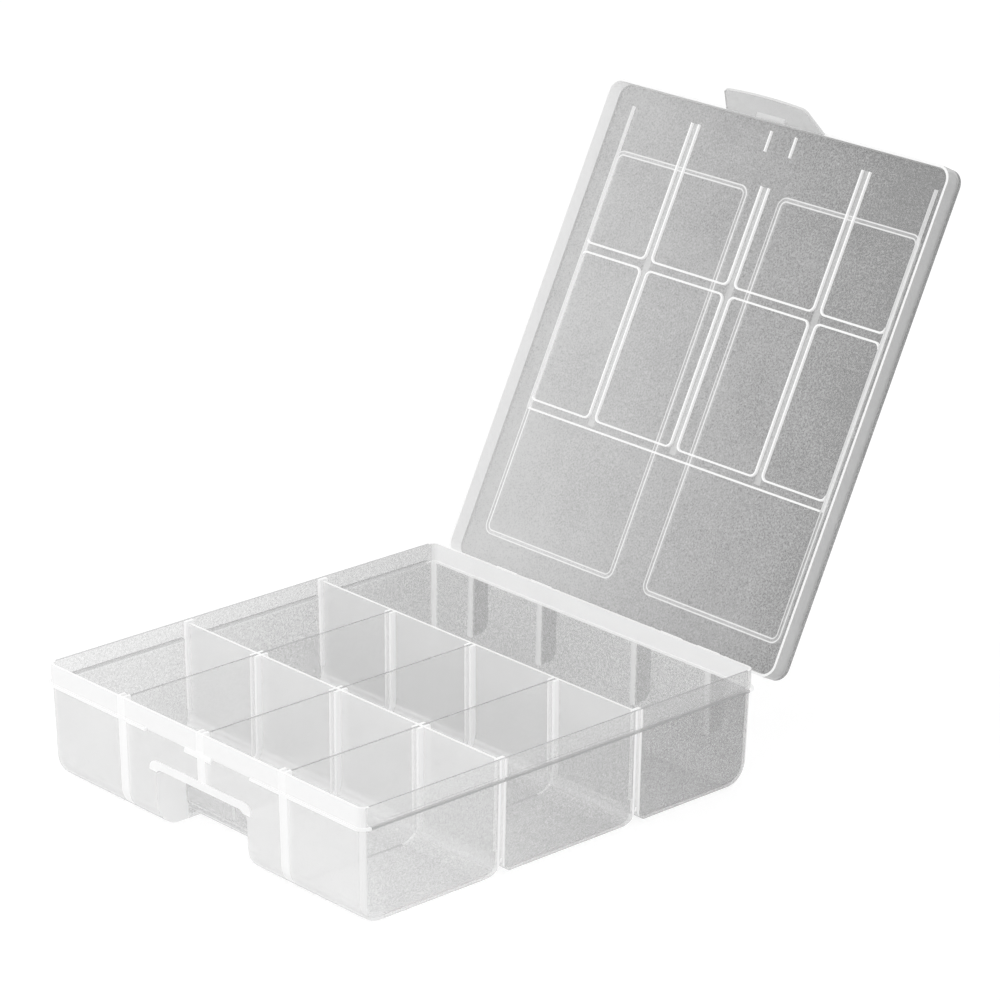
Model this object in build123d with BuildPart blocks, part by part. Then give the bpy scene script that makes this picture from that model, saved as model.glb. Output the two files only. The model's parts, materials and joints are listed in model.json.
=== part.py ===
from build123d import *
import math
import os

# Compartment storage box: a moulded tray with three scooped rows, six lift-out
# dividers, a hinged lid and a latch flap on the lid's front edge.
# x runs left to right, y from the front to the back, and the box stands on z = 0.
# Driving dimensions are in millimetres and degrees.

# Tray shell
tray_width = 225.0
tray_depth = 240.0
tray_height = 57.9
wall = 1.3
wall_draft = 1.2
side_edge_radius = 4.5
rim_corner = 4.5
trough_radius = 11.0

# Rim band that stands out past the wall below it, and the ledge at its foot
rim_height = 10.4
rim_step = 0.5
ledge_reach = 1.3
ledge_height = 1.2

# Rows, partitions and the slots that hold the dividers
front_row = 82.1
middle_row = 83.2
partition_drop = 1.2
column_count = 4
column_pitch = 57.5
slot_gap = 1.9
slot_rib = 1.4
slot_reach = 3.0
pilaster_width = 4.8
pilaster_reach = 1.5
pilaster_foot = 13.0

# Dividers
divider_thickness = 1.5
divider_clearance = 0.3

# Finger pocket under the latch
pocket_width = 65.0
pocket_step = 16.4
pocket_roof = 30.5
pocket_corner = 5.0
lip_height = 3.6
lip_reach = 1.0
lip_drop = 1.5
lip_corner = 4.0

# Catch for the latch flap, and the raised rim above the pocket
catch_width = 19.0
catch_height = 2.7
catch_reach = 0.8
relief_width = 75.0
relief_rise = 1.3

# Hinge at the back: four fins carry two rods
hinge_offset = 9.5
hinge_drop = 8.3
rod_radius = 1.5
ear_radius = 2.7
fin_thickness = 1.6
fin_reach = 9.0
fin_foot = 16.0
fin_corner = 6.0
outer_fin = 83.2
inner_fin = 33.2
recess_width = 58.0
recess_depth = 0.5
recess_edge = 1.8

# Lid
lid_thickness = 1.3
lid_seat = 0.2
lid_side_gap = 0.35
lid_front_gap = 1.6
lid_back_gap = 8.3
lid_corner = 7.5
lid_edge_radius = 1.2
skirt_thickness = 1.3
skirt_drop = 9.4
open_angle = 116.5
stop_gap = 0.15
notch_clearance = 0.5
knuckle_length = 14.0
knuckle_spacing = 25.0
knuckle_wall = 1.25
rod_clearance = 0.06
rod_gap = 0.6

# Ribs under the lid and the two raised frames on its outside
lid_rib_height = 1.2
lid_side_rib_height = 0.5
lid_rib_gap = 0.6
lid_rib_width = 1.0
lid_channel = 4.8
lid_cell_corner = 3.5
lid_margin = 10.8
lid_rib_start = 8.3
lid_middle_rib_start = 29.0
latch_rib_spacing = 16.6
latch_rib_length = 10.5
frame_inner_edge = 10.8
frame_outer_edge = 102.5
frame_front = 31.0
frame_back = 6.5
frame_line = 1.9
frame_height = 0.5
frame_corner = 5.0

# Latch flap
flap_root = 65.0
flap_tip = 54.0
flap_length = 14.2
flap_bulge = 1.6
flap_corner = 4.0
flap_gap = 0.2
flap_angle = 32.0
hook_height = 1.2
hook_gap = 0.4
hook_overlap = 0.9

# Places that follow from the sizes above
front = -tray_depth / 2
back = tray_depth / 2
side = tray_width / 2
rim_bottom = tray_height - rim_height
partition_top = tray_height - partition_drop
partition_y = [front + front_row, front + front_row + middle_row]
column_x = [column_pitch * (i - column_count / 2) for i in range(1, column_count)]
draft_angle = math.degrees(math.atan(wall_draft / rim_bottom))
outer_trough = trough_radius + wall
hinge_y = back + hinge_offset
hinge_height = tray_height - hinge_drop
hinge_axis = Axis((0, hinge_y, hinge_height), (1, 0, 0))
fin_x = [-outer_fin, -inner_fin, inner_fin, outer_fin]
panel_bottom = tray_height + lid_seat
panel_top = panel_bottom + lid_thickness
skirt_bottom = panel_bottom - skirt_drop
lid_half_width = side + lid_side_gap + skirt_thickness
lid_front = front - lid_front_gap - skirt_thickness
lid_back = back + lid_back_gap + skirt_thickness
relief_bottom = rim_bottom + relief_rise
catch_bottom = relief_bottom - catch_height


def inset_at(height):
    """How far the outer wall stands in from the rim's face at a height below the rim."""
    return rim_step + (rim_bottom - height) * wall_draft / rim_bottom


def facing_front(y):
    """Upright plane across the box at y, with x to the right and z up."""
    return Plane.XZ.offset(-y)


def wall_rib_outline(reach, foot, top):
    """Outline of a rib on the inside of a wall, as (inset from the rim's face, height)."""
    return [
        (wall / 2, top),
        (rim_step + wall + reach, top),
        (rim_step + wall + reach, rim_bottom),
        (inset_at(foot) + wall + reach, foot),
        (inset_at(foot) + wall / 2, foot),
        (rim_step + wall / 2, rim_bottom),
        (wall / 2, rim_bottom + wall / 2),
    ]


# Outside of the tray as a full solid
with BuildPart() as envelope:
    with BuildSketch(Plane.XY.offset(rim_bottom)):
        Rectangle(tray_width - 2 * rim_step, tray_depth - 2 * rim_step)
    extrude(amount=-rim_bottom, taper=draft_angle)
    floor_edges = envelope.faces().sort_by(Axis.Z)[0].edges()
    fillet(floor_edges.filter_by(Axis.X), outer_trough)
    for end in (0, -1):
        end_edges = envelope.faces().sort_by(Axis.X)[end].edges().sort_by(Axis.Z)[:-1]
        fillet(end_edges, side_edge_radius)
    with BuildSketch(Plane.XY.offset(rim_bottom)):
        RectangleRounded(tray_width, tray_depth, rim_corner)
    extrude(amount=rim_height)

# Space inside the tray, before the partitions divide it
hollow_top = rim_bottom + wall
with BuildPart() as hollow:
    with BuildSketch(Plane.XY.offset(hollow_top)):
        Rectangle(
            tray_width - 2 * (inset_at(hollow_top) + wall),
            tray_depth - 2 * (inset_at(hollow_top) + wall),
        )
    extrude(amount=-rim_bottom, taper=draft_angle)
    floor_edges = hollow.faces().sort_by(Axis.Z)[0].edges()
    fillet(floor_edges.filter_by(Axis.X), trough_radius)
    for end in (0, -1):
        end_edges = hollow.faces().sort_by(Axis.X)[end].edges().sort_by(Axis.Z)[:-1]
        fillet(end_edges, side_edge_radius - wall)
    with BuildSketch(Plane.XY.offset(hollow_top)):
        RectangleRounded(tray_width - 2 * wall, tray_depth - 2 * wall, rim_corner - wall)
    extrude(amount=rim_height)

# Partitions with their scooped feet, the divider slots and the end pilasters
with BuildPart() as inner_walls:
    for y in partition_y:
        with BuildSketch(Plane.YZ):
            with BuildLine():
                near = CenterArc((y - wall / 2 - trough_radius, outer_trough), trough_radius, -90, 90)
                far = CenterArc((y + wall / 2 + trough_radius, outer_trough), trough_radius, 180, 90)
                Polyline(near @ 1, (y - wall / 2, partition_top), (y + wall / 2, partition_top), far @ 0)
                Polyline(
                    near @ 0,
                    (y - wall / 2 - trough_radius, wall / 2),
                    (y + wall / 2 + trough_radius, wall / 2),
                    far @ 1,
                )
            make_face()
        extrude(amount=side, both=True)
    slot_side = (slot_gap + slot_rib) / 2
    slot_x = [x + offset for x in column_x for offset in (-slot_side, slot_side)]
    for x in slot_x:
        with BuildSketch(Plane.YZ.offset(x)):
            outline = wall_rib_outline(slot_reach, wall / 2, tray_height)
            Polygon(*[(front + inset, height) for inset, height in outline], align=None)
        extrude(amount=slot_rib / 2, both=True)
    with BuildSketch(Plane.XY.offset(wall / 2)):
        through = wall + 2 * slot_reach
        with Locations(*[(x, partition_y[0]) for x in slot_x]):
            Rectangle(slot_rib, through)
        with Locations(*[(x, partition_y[1] - through / 4) for x in slot_x]):
            Rectangle(slot_rib, through / 2)
    extrude(amount=partition_top - wall / 2)
    for y in partition_y:
        for hand in (-1, 1):
            with BuildSketch(facing_front(y)):
                outline = wall_rib_outline(pilaster_reach, pilaster_foot, tray_height)
                Polygon(*[(hand * (side - inset), height) for inset, height in outline], align=None)
            extrude(amount=pilaster_width / 2, both=True)
    add(envelope.part, mode=Mode.INTERSECT)

# Walls round the finger pocket, whose back is the front wall set further in
def pocket_block(grow):
    """The pocket as a solid, grown by a wall thickness on every side that faces the tray."""
    back_top = front + pocket_step + inset_at(pocket_roof) + grow
    back_foot = front + pocket_step + inset_at(outer_trough) + grow
    with BuildPart() as block:
        with BuildSketch(Plane.YZ):
            with BuildLine():
                foot_radius = outer_trough - grow
                foot = CenterArc((back_foot + foot_radius, outer_trough), foot_radius, 180, 90)
                Polyline(
                    foot @ 0,
                    (back_top, pocket_roof + grow),
                    (front - rim_step, pocket_roof + grow),
                    (front - rim_step, -wall),
                    (back_foot + foot_radius, -wall),
                    foot @ 1,
                )
            make_face()
        extrude(amount=pocket_width / 2 + grow, both=True)
        sides = block.faces().filter_by(Axis.X)
        fillet(sides.edges().group_by(Axis.Z)[-1], pocket_corner + grow)
    return block.part


# Tray in one moulding
with BuildPart() as base_tray:
    add(envelope.part)
    with BuildSketch(Plane.XY.offset(rim_bottom)):
        RectangleRounded(
            tray_width + 2 * ledge_reach, tray_depth + 2 * ledge_reach, rim_corner + ledge_reach
        )
    extrude(amount=ledge_height)
    add(hollow.part, mode=Mode.SUBTRACT)
    add(inner_walls.part)
    add(pocket_block(wall) & envelope.part)
    add(pocket_block(0), mode=Mode.SUBTRACT)

    # grooves under the partitions, so that each row has its own rounded belly
    half_groove = outer_trough - wall / 2
    meeting_angle = math.degrees(math.acos(half_groove / outer_trough))
    for y in partition_y:
        with BuildSketch(Plane.YZ):
            with BuildLine():
                near = CenterArc(
                    (y - half_groove, outer_trough), outer_trough, -90, 90 - meeting_angle
                )
                far = CenterArc(
                    (y + half_groove, outer_trough), outer_trough, 180 + meeting_angle, 90 - meeting_angle
                )
                Polyline(near @ 0, (y - half_groove, -wall), (y + half_groove, -wall), far @ 1)
            make_face()
        extrude(amount=side, both=True, mode=Mode.SUBTRACT)

    # bead over the pocket's mouth
    lip_face = front + inset_at(pocket_roof) - lip_reach
    with BuildSketch(facing_front(lip_face)) as lip:
        lip_foot = pocket_roof - lip_drop
        with Locations((0, (lip_foot + pocket_roof + lip_height) / 2)):
            Rectangle(pocket_width + 2 * lip_height, lip_height + lip_drop)
        fillet(lip.vertices().group_by(Axis.Y)[-1], lip_corner)
    extrude(amount=-(lip_reach + wall / 2))
    add(pocket_block(0), mode=Mode.SUBTRACT)

    # raised foot of the rim over the pocket, where the flap hangs
    with BuildSketch(Plane.XY.offset(relief_bottom)):
        with Locations((0, front + (rim_step + wall) / 2)):
            Rectangle(relief_width + 2 * wall, rim_step + wall)
    extrude(amount=wall)
    with BuildSketch(Plane.XY.offset(rim_bottom)):
        with Locations((0, front - ledge_reach + (rim_step + ledge_reach) / 2)):
            Rectangle(relief_width, rim_step + ledge_reach)
    extrude(amount=relief_rise, mode=Mode.SUBTRACT)

    # catch under the raised foot
    with BuildSketch(Plane.YZ):
        Polygon(
            (front + rim_step + wall / 2, catch_bottom),
            (front - catch_reach, catch_bottom),
            (front - catch_reach, catch_bottom + catch_height / 3),
            (front, relief_bottom + wall / 2),
            (front + rim_step + wall / 2, relief_bottom + wall / 2),
            align=None,
        )
    extrude(amount=catch_width / 2, both=True)

    # fins at the back and the rods between each pair; each fin ends in an ear with a
    # square heel that stops the lid
    fin_face = back + fin_reach
    heel_face = hinge_y + ear_radius
    heel_bottom = hinge_height - ear_radius
    for x in fin_x:
        with BuildSketch(Plane.YZ.offset(x)):
            with BuildLine():
                foot = CenterArc((fin_face - fin_corner, fin_foot + fin_corner), fin_corner, -90, 90)
                ear = CenterArc((hinge_y, hinge_height), ear_radius, 0, 90)
                Polyline(
                    foot @ 1,
                    (fin_face, heel_bottom - (heel_face - fin_face)),
                    (heel_face, heel_bottom),
                    ear @ 0,
                )
                Polyline(
                    ear @ 1,
                    (back - wall / 2, hinge_height + ear_radius),
                    (back - wall / 2, rim_bottom + wall / 2),
                    (back - rim_step - wall / 2, rim_bottom),
                    (back - inset_at(fin_foot) - wall / 2, fin_foot),
                    foot @ 0,
                )
            make_face()
        extrude(amount=fin_thickness / 2, both=True)
    for x in (-(outer_fin + inner_fin) / 2, (outer_fin + inner_fin) / 2):
        with BuildSketch(Plane.YZ.offset(x)):
            with Locations((hinge_y, hinge_height)):
                Circle(rod_radius)
        extrude(amount=(outer_fin - inner_fin) / 2, both=True)

    # shallow panel in the back of the rim between the two hinges
    with BuildSketch(facing_front(back)):
        panel_middle = (rim_bottom + ledge_height + tray_height) / 2
        panel_rise = rim_height - ledge_height - 2 * recess_edge
        with Locations((0, panel_middle)):
            Rectangle(recess_width, panel_rise)
    extrude(amount=recess_depth, mode=Mode.SUBTRACT)

base_tray.part.label = "base_tray"


# Dividers, named by their row and place from the left
def divider_outline(row, x):
    """Side view of a divider that fits between the walls of its row."""
    low = wall + divider_clearance
    edge = wall + divider_clearance
    far_y = partition_y[row] - wall / 2 - divider_clearance
    if row == 0:
        near = [(front + rim_step + edge, partition_top), (front + rim_step + edge, rim_bottom)]
        step = 0
        if abs(x) < pocket_width / 2:
            over = pocket_roof + edge
            step = pocket_step
            near += [(front + inset_at(over) + edge, over), (front + step + inset_at(over) + edge, over)]
        near += [(front + step + inset_at(low) + edge, low)]
    else:
        near_y = partition_y[row - 1] + wall / 2 + divider_clearance
        near = [(near_y, partition_top), (near_y, low)]
    return near + [(far_y, low), (far_y, partition_top)]


dividers = {}
for row, row_name in enumerate(("front", "middle")):
    for place, x in zip(("left", "centre", "right"), column_x):
        with BuildPart() as divider:
            with BuildSketch(Plane.YZ.offset(x)) as divider_side:
                Polygon(*divider_outline(row, x), align=None)
                fillet(divider_side.vertices().group_by(Axis.Y)[0], trough_radius - divider_clearance)
            extrude(amount=divider_thickness / 2, both=True)
        divider.part.label = f"divider_{row_name}_{place}"
        dividers[divider.part.label] = divider.part

# Lid, modelled shut on the tray
lid_middle = (lid_front + lid_back) / 2
lid_depth = lid_back - lid_front
knuckle_radius = rod_radius + rod_clearance + knuckle_wall
with BuildPart() as lid:
    with BuildSketch(Plane.XY.offset(skirt_bottom)):
        with Locations((0, lid_middle)):
            RectangleRounded(2 * lid_half_width, lid_depth, lid_corner)
    extrude(amount=skirt_drop + lid_thickness)
    fillet(lid.faces().sort_by(Axis.Z)[-1].edges(), lid_edge_radius)
    with BuildSketch(Plane.XY.offset(skirt_bottom)):
        with Locations((0, lid_middle)):
            RectangleRounded(
                2 * (lid_half_width - skirt_thickness),
                lid_depth - 2 * skirt_thickness,
                lid_corner - skirt_thickness,
            )
    extrude(amount=skirt_drop, mode=Mode.SUBTRACT)

    # ribs that trace each compartment and leave channels over the walls
    channel_edge = (lid_channel - lid_rib_width) / 2
    row_edges = [
        (front, partition_y[0] - channel_edge),
        (partition_y[0] + channel_edge, partition_y[1] - channel_edge),
    ]
    cell_edges = [-side + lid_margin] + column_x + [side - lid_margin]
    with BuildSketch(Plane.XY.offset(panel_bottom)):
        for row_start, row_end in row_edges:
            for i in range(column_count):
                cell_left = cell_edges[i] + (channel_edge if i > 0 else 0)
                cell_right = cell_edges[i + 1] - (channel_edge if i < column_count - 1 else 0)
                cell_width = cell_right - cell_left
                cell_depth = row_end - row_start
                with Locations(((cell_left + cell_right) / 2, (row_start + row_end) / 2)):
                    RectangleRounded(cell_width, cell_depth, lid_cell_corner)
                    RectangleRounded(
                        cell_width - 2 * lid_rib_width,
                        cell_depth - 2 * lid_rib_width,
                        lid_cell_corner - lid_rib_width,
                        mode=Mode.SUBTRACT,
                    )
        with Locations((0, front + lid_rib_start / 2)):
            Rectangle(tray_width, lid_rib_start, mode=Mode.SUBTRACT)
        with Locations((0, front + lid_middle_rib_start / 2)):
            Rectangle(lid_channel + 2 * lid_rib_width, lid_middle_rib_start, mode=Mode.SUBTRACT)
        back_row_rib = partition_y[1] + lid_channel / 2
        with Locations((0, back_row_rib)):
            Rectangle(2 * (side - lid_margin), lid_rib_width)
        latch_rib_y = front + wall + lid_rib_gap + latch_rib_length / 2
        with Locations((-latch_rib_spacing / 2, latch_rib_y), (latch_rib_spacing / 2, latch_rib_y)):
            Rectangle(lid_rib_width, latch_rib_length)
        for hand in (-1, 1):
            with Locations((hand * (side - lid_margin), lid_middle)):
                Rectangle(2 * lid_rib_width, lid_depth, mode=Mode.SUBTRACT)
    extrude(amount=-lid_rib_height)

    # low ribs along both sides
    side_rib_start = front + lid_rib_start
    with BuildSketch(Plane.XY.offset(panel_bottom)):
        side_rib_middle = (side_rib_start + back_row_rib) / 2
        with Locations((-side + lid_margin, side_rib_middle), (side - lid_margin, side_rib_middle)):
            Rectangle(2 * lid_rib_width, back_row_rib + lid_rib_width / 2 - side_rib_start)
    extrude(amount=-lid_side_rib_height)

    # two raised frames on the outside
    with BuildSketch(Plane.XY.offset(panel_top)):
        frame_width = frame_outer_edge - frame_inner_edge
        frame_start = front + frame_front
        frame_depth = back - frame_back - frame_start
        for hand in (-1, 1):
            frame_x = hand * (frame_inner_edge + frame_outer_edge) / 2
            with Locations((frame_x, frame_start + frame_depth / 2)):
                RectangleRounded(frame_width, frame_depth, frame_corner)
                RectangleRounded(
                    frame_width - 2 * frame_line,
                    frame_depth - 2 * frame_line,
                    frame_corner - frame_line,
                    mode=Mode.SUBTRACT,
                )
    extrude(amount=frame_height)

    # notches for the fins, whose heels stop the lid when it is fully open, and the
    # gaps between them for the rods
    turn = math.radians(open_angle)
    skirt_reach = lid_back - hinge_y
    notch_rise = (ear_radius + stop_gap - skirt_reach * math.cos(turn)) / math.sin(turn)
    notch_top = hinge_height + notch_rise
    gap_top = hinge_height + rod_radius + rod_gap
    hinge_middle = (outer_fin + inner_fin) / 2
    with BuildSketch(facing_front(lid_back)):
        with Locations(*[(x, (skirt_bottom + notch_top) / 2) for x in fin_x]):
            Rectangle(fin_thickness + 2 * notch_clearance, notch_top - skirt_bottom)
        with Locations(*[(x, (skirt_bottom + gap_top) / 2) for x in (-hinge_middle, hinge_middle)]):
            Rectangle(outer_fin - inner_fin, gap_top - skirt_bottom)
    extrude(amount=skirt_thickness, mode=Mode.SUBTRACT)

    # knuckles that clip over the rods, open towards the front below the rod
    knuckle_x = [
        hand * (hinge_middle + place * knuckle_spacing / 2) for hand in (-1, 1) for place in (-1, 1)
    ]
    for x in knuckle_x:
        with BuildSketch(Plane.YZ.offset(x)):
            with Locations((hinge_y, hinge_height)):
                Circle(knuckle_radius)
            with Locations((lid_back - skirt_thickness / 2, (hinge_height + gap_top + wall) / 2)):
                Rectangle(skirt_thickness, gap_top + wall - hinge_height)
            with Locations((hinge_y, hinge_height)):
                Circle(rod_radius + rod_clearance, mode=Mode.SUBTRACT)
                Rectangle(
                    knuckle_radius, knuckle_radius, align=(Align.MAX, Align.MAX), mode=Mode.SUBTRACT
                )
        extrude(amount=knuckle_length / 2, both=True)

# Latch flap, modelled hanging straight down from the shut lid's front edge
flap_axis_y = lid_front + skirt_thickness / 2
flap_axis_z = skirt_bottom - flap_gap - skirt_thickness / 2
flap_axis = Axis((0, flap_axis_y, flap_axis_z), (1, 0, 0))
flap_low = flap_axis_z - flap_length
with BuildPart() as latch_flap:
    with BuildSketch(facing_front(lid_front)) as flap_front:
        with BuildLine():
            Polyline(
                (-flap_tip / 2, flap_low),
                (-flap_root / 2, flap_axis_z),
                (flap_root / 2, flap_axis_z),
                (flap_tip / 2, flap_low),
            )
            ThreePointArc((-flap_tip / 2, flap_low), (0, flap_low - flap_bulge), (flap_tip / 2, flap_low))
        make_face()
        fillet(flap_front.vertices().group_by(Axis.Y)[0], flap_corner)
    extrude(amount=-skirt_thickness)
    with BuildSketch(Plane.YZ):
        with Locations((flap_axis_y, flap_axis_z)):
            Circle(skirt_thickness / 2)
    extrude(amount=flap_root / 2, both=True)

    # hook that holds under the catch
    hook_top = catch_bottom - hook_gap
    hook_face = front - catch_reach + hook_overlap
    with BuildSketch(Plane.YZ):
        Polygon(
            (lid_front + skirt_thickness / 2, hook_top),
            (hook_face, hook_top),
            (hook_face, hook_top - hook_height / 2),
            (lid_front + skirt_thickness / 2, hook_top - 2 * hook_height),
            align=None,
        )
    extrude(amount=catch_width / 2, both=True)

# The lid stands open on its stop and the flap springs out from it
lid_open = lid.part.rotate(hinge_axis, -open_angle)
lid_open.label = "lid"
flap_open = latch_flap.part.rotate(flap_axis, -flap_angle).rotate(hinge_axis, -open_angle)
flap_open.label = "latch_flap"

os.makedirs("parts", exist_ok=True)
export_step(base_tray.part, "parts/base_tray.step")
export_step(lid_open, "parts/lid.step")
export_step(flap_open, "parts/latch_flap.step")
for name, piece in dividers.items():
    export_step(piece, f"parts/{name}.step")
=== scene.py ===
import json
import math

import bpy
import numpy as np
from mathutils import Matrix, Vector

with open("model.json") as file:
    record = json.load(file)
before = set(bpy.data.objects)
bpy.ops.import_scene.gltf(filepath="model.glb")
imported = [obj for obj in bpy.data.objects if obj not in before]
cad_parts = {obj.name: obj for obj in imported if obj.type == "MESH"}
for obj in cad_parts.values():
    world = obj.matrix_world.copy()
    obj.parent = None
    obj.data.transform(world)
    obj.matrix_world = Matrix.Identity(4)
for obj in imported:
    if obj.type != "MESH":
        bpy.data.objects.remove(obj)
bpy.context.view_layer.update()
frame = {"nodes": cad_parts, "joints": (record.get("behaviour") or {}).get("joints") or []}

MM = 0.001

# Faces narrower than the first width are edges of the moulding, such as a rib's top or a wall's
# rim, and faces wider than the second are its sheets
EDGE_WIDTHS = {"base_tray": (3.3 * MM, 4.2 * MM), "other": (1.7 * MM, 2.6 * MM)}
# Only edges longer than this are dim where they run front to back
LONG_EDGE = 20 * MM
# Faces that meet at less than this angle belong to one surface
SMOOTH_ANGLE = math.radians(40)

# Half the width of a mark's blurred side, and of one that is sharp
BLUR = 0.25 * MM
SHARP = 0.01 * MM


def middle_x(node):
    """Where the middle of a CAD node lies across the box."""
    corners = frame["nodes"][node].bound_box
    return sum(x for x, _, _ in corners) / len(corners)


# The tray's slots and the lid's ribs stand in columns as wide as the dividers are apart
COLUMN_PITCH = middle_x("divider_middle_right") - middle_x("divider_middle_centre")
COLUMNS_END = 80 * MM

# Places on the tray, from the middle of the box and up from the floor
RIM_FOOT = 47.5 * MM
RIM_END = 112 * MM
RIM_SIDE = 110 * MM
FRONT_WALL = -114 * MM
SIDE_WALL = 104 * MM
CORNERS = 105 * MM
PARTITIONS_END = 100 * MM
PARTITION_Y = (-37.9 * MM, 45.3 * MM)
PARTITION_BAND = 2.4 * MM
PARTITION_CORE = 0.9 * MM
GROOVE = 0.7 * MM
GROOVE_TOP = 9.6 * MM
SLOT_BAND = 3.0 * MM
SLOT_SHIFT = 1.0 * MM
TOE = (3.0 * MM, 6.5 * MM)
TOE_BACK = -106 * MM
PROUD_OF_RIM = -119.75 * MM
PROUD_TOP = 48.8 * MM
POCKET_BACK = -101 * MM
POCKET_TOP = 33 * MM
CHEEK_X = 33.1 * MM
CHEEK = 1.5 * MM
FIN_X = (33.2 * MM, 83.2 * MM)
FIN_BAND = 1.8 * MM
FIN_FOOT = 16 * MM
FIN_START = 120.6 * MM
FLANK_START = 114 * MM
FLANKS_END = 100 * MM

# Places on the lid in its own plan, as the mould cuts it with the lid shut
hinge = next(j for j in frame["joints"] if j["name"] == "lid_hinge")
LID_HINGE = tuple(hinge["pos_m"])
LID_TURN = math.radians(-hinge["range_deg"][0])
FRAME_MIDDLE = (56.65 * MM, 12.25 * MM, 0)
FRAME_HALF = (45.85 * MM, 101.25 * MM)
FRAME_CORNER = 5.0 * MM
FRAME_LINE = 1.9 * MM
RIDGE = (0.2 * MM, 0.5 * MM)
SKIRT_TOP = 56.5 * MM
SKIRT_FADE = (-60 * MM, 60 * MM)
CHANNEL = 2.0 * MM
CHANNELS_Y = (-111.7 * MM, 46 * MM)
LATCH_HALF = 10 * MM
LATCH_RIBS = -91 * MM

# Slopes per metre in x, y and z of painted shade, which takes the finish from its near colour, at 0,
# to its darker far one, at 1, towards the back of the box and the right and top of the lid, and its
# value at the origin
BOX_PAINTED_SHADE = (-0.9, 3.0, 0.0, 0.6)
LID_PAINTED_SHADE = (3.3, 0.0, 1.25, 0.35)
# How far the clouds and the grain shift it either way
CLOUD_SHIFT = 0.15
GRAIN_SHIFT = 0.8
# Colour that a rounded outline darkens to, and where it starts and ends on the way to edge on
OUTLINE_GREY = "6E6E6E"
OUTLINE_SLANT = (0.62, 0.95)
# Cover of an edge that faces the light, and of a dim one
EDGE_COVER = (0.87, 0.55)
# Share of its cover that clear plastic keeps for the light that falls on it
SHADE = 0.2


def colour(code):
    """Linear colour of an sRGB hex value."""
    parts = [int(code[i : i + 2], 16) / 255 for i in (0, 2, 4)]
    return tuple(c / 12.92 if c <= 0.04045 else ((c + 0.055) / 1.055) ** 2.4 for c in parts) + (1.0,)


def add(tree, kind, values=(), **settings):
    """Adds a node. Its values go by name or in order, and each is a number, a socket that feeds
    it, or a node that feeds it from its first output in use."""
    node = tree.nodes.new(kind)
    for key, value in settings.items():
        setattr(node, key, value)
    for key, value in values.items() if isinstance(values, dict) else enumerate(values):
        if isinstance(value, bpy.types.Node):
            value = next(output for output in value.outputs if output.enabled)
        if isinstance(value, bpy.types.NodeSocket):
            tree.links.new(value, node.inputs[key])
        else:
            node.inputs[key].default_value = value
    return node


def joined(tree, operation, masks):
    """One mask from several, joined two by two."""
    total = masks[0]
    for mask in masks[1:]:
        total = add(tree, "ShaderNodeMath", [total, mask], operation=operation)
    return total


def all_of(tree, *masks):
    """The masks' product."""
    return joined(tree, "MULTIPLY", masks)


def any_of(tree, *masks):
    """The greatest of the masks."""
    return joined(tree, "MAXIMUM", masks)


def between(tree, value, low, high, side=SHARP):
    """1 between low and high, with sides blurred by side. Either may be None, for no limit."""
    masks = []
    if low is not None:
        masks.append(add(tree, "ShaderNodeMapRange", [value, low - side, low + side, 0.0, 1.0]))
    if high is not None:
        masks.append(add(tree, "ShaderNodeMapRange", [value, high - side, high + side, 1.0, 0.0]))
    return all_of(tree, *masks)


def plain_sizes(tree, vector):
    """The vector's three parts without their signs."""
    size = add(tree, "ShaderNodeVectorMath", [vector], operation="ABSOLUTE")
    return add(tree, "ShaderNodeSeparateXYZ", [size]).outputs


def surface_widths(mesh):
    """Mean width of the smooth surface that each face is part of, in metres."""
    corners = np.zeros(len(mesh.vertices) * 3)
    mesh.vertices.foreach_get("co", corners)
    places, ids = np.unique(np.round(corners.reshape(-1, 3), 6), axis=0, return_inverse=True)
    ids = ids.reshape(-1)
    owner = list(range(len(mesh.polygons)))

    def root(i):
        while owner[i] != i:
            owner[i] = owner[owner[i]]
            i = owner[i]
        return i

    sides = {}
    for face in mesh.polygons:
        loop = [ids[v] for v in face.vertices]
        for a, b in zip(loop, loop[1:] + loop[:1]):
            sides.setdefault((min(a, b), max(a, b)), []).append(face.index)
    least = math.cos(SMOOTH_ANGLE)
    rims = []
    for (a, b), faces in sides.items():
        length = float(np.linalg.norm(places[a] - places[b]))
        if len(faces) == 2:
            one, two = (mesh.polygons[f] for f in faces)
            if one.normal.dot(two.normal) > least:
                owner[root(faces[0])] = root(faces[1])
                continue
        rims.extend((f, length) for f in faces)
    area, rim = {}, {}
    for face in mesh.polygons:
        key = root(face.index)
        area[key] = area.get(key, 0) + face.area
    for f, length in rims:
        key = root(f)
        rim[key] = rim.get(key, 0) + length
    return [2 * area[root(f.index)] / max(rim.get(root(f.index), 0), 1e-9) for f in mesh.polygons]


def mark_edges(node, piece):
    """Stores for the material how far each face is an edge of the moulding, and how far it runs
    front to back."""
    mesh = piece.data
    full, none = EDGE_WIDTHS.get(node, EDGE_WIDTHS["other"])
    edge_on = mesh.attributes.new("edge_on", "FLOAT", "FACE")
    fore_aft = mesh.attributes.new("fore_aft", "FLOAT", "FACE")
    for face, width in zip(mesh.polygons, surface_widths(mesh)):
        edge_on.data[face.index].value = min(1.0, max(0.0, (none - width) / (none - full)))
        corners = [mesh.vertices[v].co for v in face.vertices]
        sides = [b - a for a, b in zip(corners, corners[1:] + corners[:1])]
        longest = max(sides, key=lambda side: side.length)
        is_long = longest.length > LONG_EDGE
        fore_aft.data[face.index].value = abs(longest.y) / longest.length if is_long else 0.0


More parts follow.
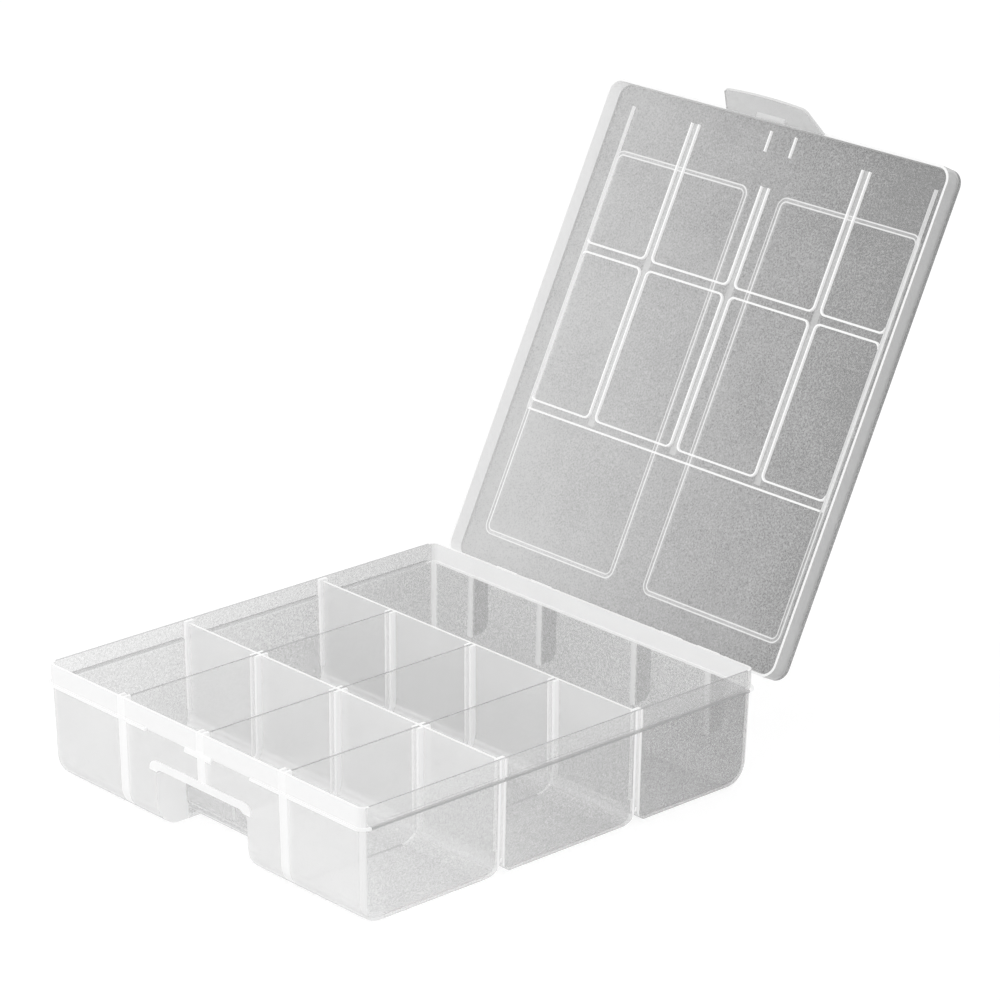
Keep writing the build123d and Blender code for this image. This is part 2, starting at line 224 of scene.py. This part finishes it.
def frosted_tone(tree, along, grain, clouds, thick, dim, slant, finish):
    """Colour of the plastic: the frosted sheet with its painted shade, its bare edges, white partly as
    painted highlights, and its rounded outlines.
    """
    uneven = add(tree, "ShaderNodeMapRange", [clouds, 0.0, 1.0, -CLOUD_SHIFT, CLOUD_SHIFT])
    grainy = add(tree, "ShaderNodeMapRange", [grain, 0.0, 1.0, -GRAIN_SHIFT, GRAIN_SHIFT])
    shift = add(tree, "ShaderNodeMath", [uneven, grainy], operation="ADD")
    # painted shade from the near colour to the far one, shifted either way by the clouds and grain
    spread = add(tree, "ShaderNodeMath", [along, shift], operation="ADD")
    # a rounded outline turns darker where the plastic bends the light away
    outlined = add(tree, "ShaderNodeMapRange", [slant, *OUTLINE_SLANT, 0.0, finish["outline"]])
    near, far, edge, dim_edge = (colour(finish[part]) for part in ("near", "far", "edge", "dim_edge"))
    bare_edge = add(tree, "ShaderNodeMix", {"Factor": dim, "A": edge, "B": dim_edge}, data_type="RGBA")
    tone = near
    for factor, other in ((spread, far), (thick, bare_edge), (outlined, colour(OUTLINE_GREY))):
        tone = add(tree, "ShaderNodeMix", {"Factor": factor, "A": tone, "B": other}, data_type="RGBA")
    return tone


def frosted_cover(tree, along, grain, thick, dim, clearer, slant, finish):
    """How much the plastic hides: a milky film on a sheet, nearly all where it is thicker or whitened as
    painted light.
    """
    milk, speckle = finish["milk"], finish["speckle"]
    # a sheet seen at a slant has more plastic in the line of sight, so the film gets denser
    # towards edge on
    film = all_of(
        tree,
        add(tree, "ShaderNodeMapRange", [slant, 0.3, 1.0, milk, milk + 0.45 * (1.0 - milk)]),
        # denser towards the painted shade
        add(tree, "ShaderNodeMapRange", [along, 0.0, 1.0, 0.85, 1.0 + finish["thickening"]]),
        add(tree, "ShaderNodeMapRange", [clearer, 0.0, 1.0, 1.0, 0.4]),
        add(tree, "ShaderNodeMapRange", [grain, 0.35, 0.65, 1.0 - speckle, 1.0 + speckle]),
    )
    # grain shows faintly on what is half whitened and not at all on edges
    faint = 0.4 * speckle
    grainy = add(tree, "ShaderNodeMapRange", [grain, 0.35, 0.65, 1.0 - faint, 1.0 + faint])
    solid = all_of(
        tree,
        thick,
        add(tree, "ShaderNodeMapRange", [dim, 0.0, 1.0, *EDGE_COVER]),
        add(tree, "ShaderNodeMapRange", [thick, 0.6, 1.0, grainy, 1.0]),
    )
    path = add(tree, "ShaderNodeLightPath")
    lit_through = any_of(tree, path.outputs["Is Shadow Ray"], path.outputs["Is Diffuse Ray"])
    kept = add(tree, "ShaderNodeMapRange", [lit_through, 0.0, 1.0, 1.0, SHADE])
    return all_of(tree, any_of(tree, film, solid), kept)


def frosted_polypropylene(name, marks=None, **finish):
    """Injection moulded clear polypropylene with a light etched frosting.

    Gives the eye a milky film that shows what stands behind it softly, and that turns white
    where the plastic is thicker or seen edge on, partly as painted highlights on its edges. The
    finish holds its near colour, its darker far colour of painted shade and the slopes between
    them, its edge colours, the dim one for edges that run front to back, milk for how dense the
    film is, shade density for how much denser it gets into the painted shade, speckle for how much
    the grain varies it, outline for how dark its rounded outlines turn, and its roughness. Marks
    says what is whiter or clearer by its place, mostly as painted light."""
    mat = bpy.data.materials.new(name)
    mat.use_nodes = True
    tree = mat.node_tree
    tree.nodes.clear()
    coords = add(tree, "ShaderNodeTexCoord")
    place = coords.outputs["Object"]
    edge_on = add(tree, "ShaderNodeAttribute", attribute_name="edge_on").outputs["Fac"]
    fore_aft = add(tree, "ShaderNodeAttribute", attribute_name="fore_aft").outputs["Fac"]
    # faces are whitened on the moulding's edges, partly as painted highlights, and by the marks' painted
    # light
    thick, clearer = edge_on, 0.0
    if marks:
        whiter, clearer = marks(tree, place, coords.outputs["Normal"])
        thick = any_of(tree, edge_on, whiter)

    # slow clouds of 30 mm where the melt ran unevenly, and grain of about 0.9 mm, which is
    # coarser than the real etching so that it shows
    clouds = add(tree, "ShaderNodeTexNoise", {"Vector": place, "Scale": 33.0, "Detail": 3.0}).outputs["Fac"]
    grain = add(tree, "ShaderNodeTexNoise", {"Vector": place, "Scale": 1100.0, "Detail": 2.0}).outputs["Fac"]
    # how far into the painted shade each point lies
    *slope, start = finish["falloff"]
    climb = add(tree, "ShaderNodeVectorMath", [place, slope], operation="DOT_PRODUCT")
    along = add(tree, "ShaderNodeMath", [climb, start], operation="ADD")
    # edges that run front to back catch little light and look like thin grey lines
    dim = add(tree, "ShaderNodeMapRange", [all_of(tree, fore_aft, edge_on), 0.75, 0.95, 0.0, 1.0])
    slant = add(tree, "ShaderNodeLayerWeight", {"Blend": 0.3}).outputs["Facing"]
    bump = add(tree, "ShaderNodeBump", {"Height": grain, "Strength": 0.15, "Distance": 0.05 * MM})
    rough = finish["rough"]
    shader = add(
        tree,
        "ShaderNodeBsdfPrincipled",
        {
            "Base Color": frosted_tone(tree, along, grain, clouds, thick, dim, slant, finish),
            "Roughness": add(tree, "ShaderNodeMapRange", [grain, 0.3, 0.7, rough - 0.05, rough + 0.05]),
            "Alpha": frosted_cover(tree, along, grain, thick, dim, clearer, slant, finish),
            "Normal": bump,
            "IOR": 1.49,
        },
    )
    add(tree, "ShaderNodeOutputMaterial", {"Surface": shader})
    return mat


def tray_ribs_and_painted_light(tree, place, normal):
    """How white the tray is on its rim band, front wall, ribs and fins and where they shine
    through a wall, and where it is clearer. Most of this white is painted light: lit faces,
    highlights, and faces in shade painted as if lit."""
    x, y, z = add(tree, "ShaderNodeSeparateXYZ", [place]).outputs
    off_middle, off_centre, _ = plain_sizes(tree, place)
    to_side, to_end, _ = plain_sizes(tree, normal)
    faces_end = add(tree, "ShaderNodeMapRange", [to_end, 0.5, 0.8, 0.0, 1.0])
    faces_side = add(tree, "ShaderNodeMapRange", [to_side, 0.5, 0.8, 0.0, 1.0])
    front_wall = all_of(tree, faces_end, between(tree, y, None, FRONT_WALL))
    side_wall = all_of(tree, faces_side, between(tree, off_middle, SIDE_WALL, None))

    # painted light: the rim band is white, as if lit, on the front and back and grey, as in shade, on the
    # sides
    at_end = between(tree, off_centre, RIM_END, None)
    outer = any_of(tree, at_end, between(tree, off_middle, RIM_SIDE, None))
    band = between(tree, z, RIM_FOOT, None, 0.3 * MM)
    rim_light_and_shade = add(tree, "ShaderNodeMapRange", [all_of(tree, faces_end, at_end), 0.0, 1.0, 0.3, 0.9])
    rim = all_of(tree, band, outer, rim_light_and_shade)
    partition = all_of(tree, faces_end, between(tree, off_centre, None, PARTITIONS_END))

    # pairs of divider slots behind the front wall, whose bright ribs are painted on it as a highlight a
    # little to one side
    shifted = add(tree, "ShaderNodeMath", [x, SLOT_SHIFT], operation="SUBTRACT")
    from_slot = add(tree, "ShaderNodeMath", [shifted, COLUMN_PITCH / 2], operation="PINGPONG")
    at_slot = between(tree, from_slot, None, SLOT_BAND, BLUR)
    slots = all_of(tree, at_slot, between(tree, off_middle, None, COLUMNS_END), front_wall)

    # painted highlights on the upright corners, the foot of the front wall, and what stands
    # proud of it: ledge, catch and bead
    turning = all_of(tree, to_side, to_end)
    corner = all_of(
        tree,
        add(tree, "ShaderNodeMapRange", [turning, 0.25, 0.42, 0.0, 1.0]),
        between(tree, off_middle, CORNERS, None),
    )
    toe = all_of(
        tree,
        add(tree, "ShaderNodeMapRange", [z, *TOE, 1.0, 0.0]),
        between(tree, y, None, TOE_BACK),
    )
    proud = all_of(tree, between(tree, y, None, PROUD_OF_RIM), between(tree, z, None, PROUD_TOP))
    # painted light: the pocket's cheeks, in shade inside the pocket, are whitened as if lit
    cheek = all_of(
        tree,
        faces_side,
        between(tree, off_middle, CHEEK_X - CHEEK, CHEEK_X + CHEEK, BLUR),
        between(tree, y, None, POCKET_BACK),
        between(tree, z, None, POCKET_TOP),
    )

    # painted light: the hinge fins behind the back wall are whitened though they stand in shade, and their
    # feet are painted on the wall as light strips where they show through it
    fin = between(tree, y, FIN_START, None, 0.2 * MM)
    flank = all_of(
        tree,
        faces_side,
        between(tree, off_middle, None, FLANKS_END),
        between(tree, y, FLANK_START, None),
    )
    back_wall = all_of(tree, faces_end, between(tree, y, RIM_END, None), between(tree, z, FIN_FOOT, None))
    fin_feet = [between(tree, off_middle, at - FIN_BAND, at + FIN_BAND, BLUR) for at in FIN_X]

    shown = [rim, slots, proud, all_of(tree, back_wall, any_of(tree, *fin_feet), 0.5)]
    # painted light: the front wall and the partitions' front and back faces are whitened as if lit
    for mask, white in (
        (front_wall, 0.58),
        (partition, 0.65),
        (corner, 0.85),
        (toe, 0.75),
        (cheek, 0.9),
        (any_of(tree, fin, flank), 0.9),
    ):
        shown.append(all_of(tree, mask, white))
    for line in PARTITION_Y:
        # painted highlight: two bright lines with a greyer middle between them where a partition meets the
        # side wall
        core = between(tree, y, line - PARTITION_CORE, line + PARTITION_CORE, BLUR)
        greyer = add(tree, "ShaderNodeMapRange", [core, 0.0, 1.0, 1.0, 0.55])
        across = between(tree, y, line - PARTITION_BAND, line + PARTITION_BAND, BLUR)
        shown.append(all_of(tree, side_wall, across, greyer))
        groove = between(tree, y, line - GROOVE, line + GROOVE, BLUR)
        shown.append(all_of(tree, groove, between(tree, z, None, GROOVE_TOP)))
    return any_of(tree, *shown), fin


def lid_ribs_and_painted_light(tree, place, normal):
    """How white the lid is along its raised frames, between paired ribs and on its skirt, which is
    painted light: highlights on the frames and ribs, and a skirt lit on the lamp's side. It is
    clearer nowhere."""
    shut = add(
        tree,
        "ShaderNodeVectorRotate",
        {"Vector": place, "Center": LID_HINGE, "Axis": (1, 0, 0), "Angle": LID_TURN},
        rotation_type="AXIS_ANGLE",
    )
    x, y, z = add(tree, "ShaderNodeSeparateXYZ", [shut]).outputs
    off_middle = add(tree, "ShaderNodeMath", [x], operation="ABSOLUTE")

    # distance outside a rectangle that lies inside a raised frame by its corner's radius
    plan = add(tree, "ShaderNodeCombineXYZ", [off_middle, y, 0.0])
    off_frame = add(tree, "ShaderNodeVectorMath", [plan, FRAME_MIDDLE], operation="SUBTRACT")
    from_frame = add(tree, "ShaderNodeVectorMath", [off_frame], operation="ABSOLUTE")
    inset = (FRAME_HALF[0] - FRAME_CORNER, FRAME_HALF[1] - FRAME_CORNER, 0)
    past = add(tree, "ShaderNodeVectorMath", [from_frame, inset], operation="SUBTRACT")
    outside = add(tree, "ShaderNodeVectorMath", [past, (0, 0, 0)], operation="MAXIMUM")
    reach = add(tree, "ShaderNodeVectorMath", [outside], operation="LENGTH")
    past_x, past_y, _ = add(tree, "ShaderNodeSeparateXYZ", [past]).outputs
    inner = add(tree, "ShaderNodeMath", [any_of(tree, past_x, past_y), 0.0], operation="MINIMUM")
    distance = add(tree, "ShaderNodeMath", [reach, inner], operation="ADD")

    # the frame's line is a low band with a fine ridge along each side, each ridge painted white as a
    # highlight
    middle = FRAME_CORNER - FRAME_LINE / 2
    from_line = add(tree, "ShaderNodeMath", [distance, middle], operation="SUBTRACT")
    off_line = add(tree, "ShaderNodeMath", [from_line], operation="ABSOLUTE")
    from_ridge = add(tree, "ShaderNodeMath", [off_line, FRAME_LINE / 2], operation="SUBTRACT")
    off_ridge = add(tree, "ShaderNodeMath", [from_ridge], operation="ABSOLUTE")
    ridges = add(tree, "ShaderNodeMapRange", [off_ridge, *RIDGE, 0.75, 0.0])

    # the skirt is whiter on the lamp's side
    skirt = all_of(
        tree,
        between(tree, z, None, SKIRT_TOP, 0.3 * MM),
        add(tree, "ShaderNodeMapRange", [x, *SKIRT_FADE, 0.9, 0.5]),
    )
    from_pair = add(tree, "ShaderNodeMath", [x, COLUMN_PITCH / 2], operation="PINGPONG")
    # the middle pair of ribs starts further back, behind the latch
    clear_of_latch = any_of(
        tree,
        between(tree, off_middle, LATCH_HALF, None),
        between(tree, y, LATCH_RIBS, None),
    )
    # painted highlight: a white band between each pair of ribs
    channels = all_of(
        tree,
        between(tree, from_pair, None, CHANNEL, BLUR),
        between(tree, off_middle, None, COLUMNS_END),
        between(tree, y, *CHANNELS_Y),
        clear_of_latch,
        0.3,
    )
    return any_of(tree, ridges, skirt, channels), 0.0


tray_plastic = frosted_polypropylene(
    "moulded_clear_polypropylene_tray",
    tray_ribs_and_painted_light,
    near="E8E8E8",
    far="8C8C8C",
    falloff=BOX_PAINTED_SHADE,
    edge="FFFFFF",
    dim_edge="A8A8A8",
    milk=0.26,
    thickening=0.45,
    speckle=0.15,
    outline=0.9,
    rough=0.33,
)
# painted shade: the lid is the same plastic as the tray, given greyer colours because it stands up and gets
# less light
lid_plastic = frosted_polypropylene(
    "moulded_clear_polypropylene_lid",
    lid_ribs_and_painted_light,
    near="C0C0C0",
    far="606060",
    falloff=LID_PAINTED_SHADE,
    edge="FFFFFF",
    dim_edge="FFFFFF",
    milk=0.60,
    thickening=0.0,
    speckle=0.06,
    outline=0.4,
    rough=0.36,
)
# painted shade: the flap stands up with the lid and is greyer for the same reason
flap_plastic = frosted_polypropylene(
    "moulded_clear_polypropylene_flap",
    near="C8C8C8",
    far="B0B0B0",
    falloff=LID_PAINTED_SHADE,
    edge="DCDCDC",
    dim_edge="DCDCDC",
    milk=0.45,
    thickening=0.0,
    speckle=0.1,
    outline=0.8,
    rough=0.36,
)
divider_plastic = frosted_polypropylene(
    "moulded_clear_polypropylene_divider",
    near="ECECEC",
    far="9C9C9C",
    falloff=BOX_PAINTED_SHADE,
    edge="FFFFFF",
    dim_edge="9A9A9A",
    milk=0.08,
    thickening=0.0,
    speckle=0.15,
    outline=0.0,
    rough=0.30,
)

finish_of = {"base_tray": tray_plastic, "lid": lid_plastic, "latch_flap": flap_plastic}
for node, piece in frame["nodes"].items():
    mark_edges(node, piece)
    piece.data.materials.clear()
    piece.data.materials.append(finish_of.get(node, divider_plastic))


def seen_directly(tree):
    """1 for rays that show the background to the camera, in glass or in gloss."""
    path = add(tree, "ShaderNodeLightPath")
    rays = ("Is Camera Ray", "Is Glossy Ray", "Is Transmission Ray")
    return any_of(tree, *(path.outputs[ray] for ray in rays))


def pale_floor():
    """A matt white floor that keeps the box's shadow."""
    reach = 3.0
    below = 0.2 * MM
    mesh = bpy.data.meshes.new("floor")
    corners = [(-reach, -reach), (reach, -reach), (reach, reach), (-reach, reach)]
    mesh.from_pydata([(x, y, -below) for x, y in corners], [], [(0, 1, 2, 3)])
    floor = bpy.data.objects.new("floor", mesh)
    bpy.context.scene.collection.objects.link(floor)
    mat = bpy.data.materials.new("matt_white_paper")
    mat.use_nodes = True
    tree = mat.node_tree
    tree.nodes.clear()
    paper = add(tree, "ShaderNodeBsdfDiffuse", {"Color": colour("E8E8E8")})
    # brings the lit paper up to white where it is seen
    lift = all_of(tree, seen_directly(tree), 0.25)
    glow = add(tree, "ShaderNodeEmission", {"Color": colour("FFFFFF"), "Strength": lift})
    add(tree, "ShaderNodeOutputMaterial", {"Surface": add(tree, "ShaderNodeAddShader", [paper, glow])})
    mesh.materials.append(mat)


def white_studio():
    """Even light from all round, a little weaker than the white that the camera sees."""
    world = bpy.data.worlds.new("white_studio")
    bpy.context.scene.world = world
    world.use_nodes = True
    tree = world.node_tree
    tree.nodes.clear()
    strength = add(tree, "ShaderNodeMapRange", [seen_directly(tree), 0.0, 1.0, 0.96, 1.0])
    sky = add(tree, "ShaderNodeBackground", {"Color": colour("FFFFFF"), "Strength": strength})
    add(tree, "ShaderNodeOutputWorld", {"Surface": sky})


def soft_lamp(name, place, target, size, power):
    """A square soft box at place, turned to target."""
    data = bpy.data.lights.new(name, "AREA")
    data.shape = "SQUARE"
    data.size = size
    data.energy = power
    lamp = bpy.data.objects.new(name, data)
    bpy.context.scene.collection.objects.link(lamp)
    lamp.location = place
    lamp.rotation_euler = (Vector(target) - Vector(place)).to_track_quat("-Z", "Y").to_euler()


def photo_camera():
    """Camera where the photograph was taken from, by the fit of its perspective."""
    data = bpy.data.cameras.new("camera")
    data.sensor_width = 36.0
    data.lens = 156.3
    data.clip_start = 0.05
    camera = bpy.data.objects.new("camera", data)
    bpy.context.scene.collection.objects.link(camera)
    camera.location = (1.4114, -1.2221, 0.8202)
    camera.rotation_euler = tuple(math.radians(a) for a in (69.97, -0.15, 47.76))
    bpy.context.scene.camera = camera


pale_floor()
white_studio()
soft_lamp("soft_box_left", (-0.75, -1.1, 0.9), (0, 0, 0.08), 0.7, 3.0)
photo_camera()

bpy.context.scene.view_settings.view_transform = "Standard"
# a line of sight crosses up to a dozen thin walls, each with two faces
bpy.context.scene.cycles.transparent_max_bounces = 32
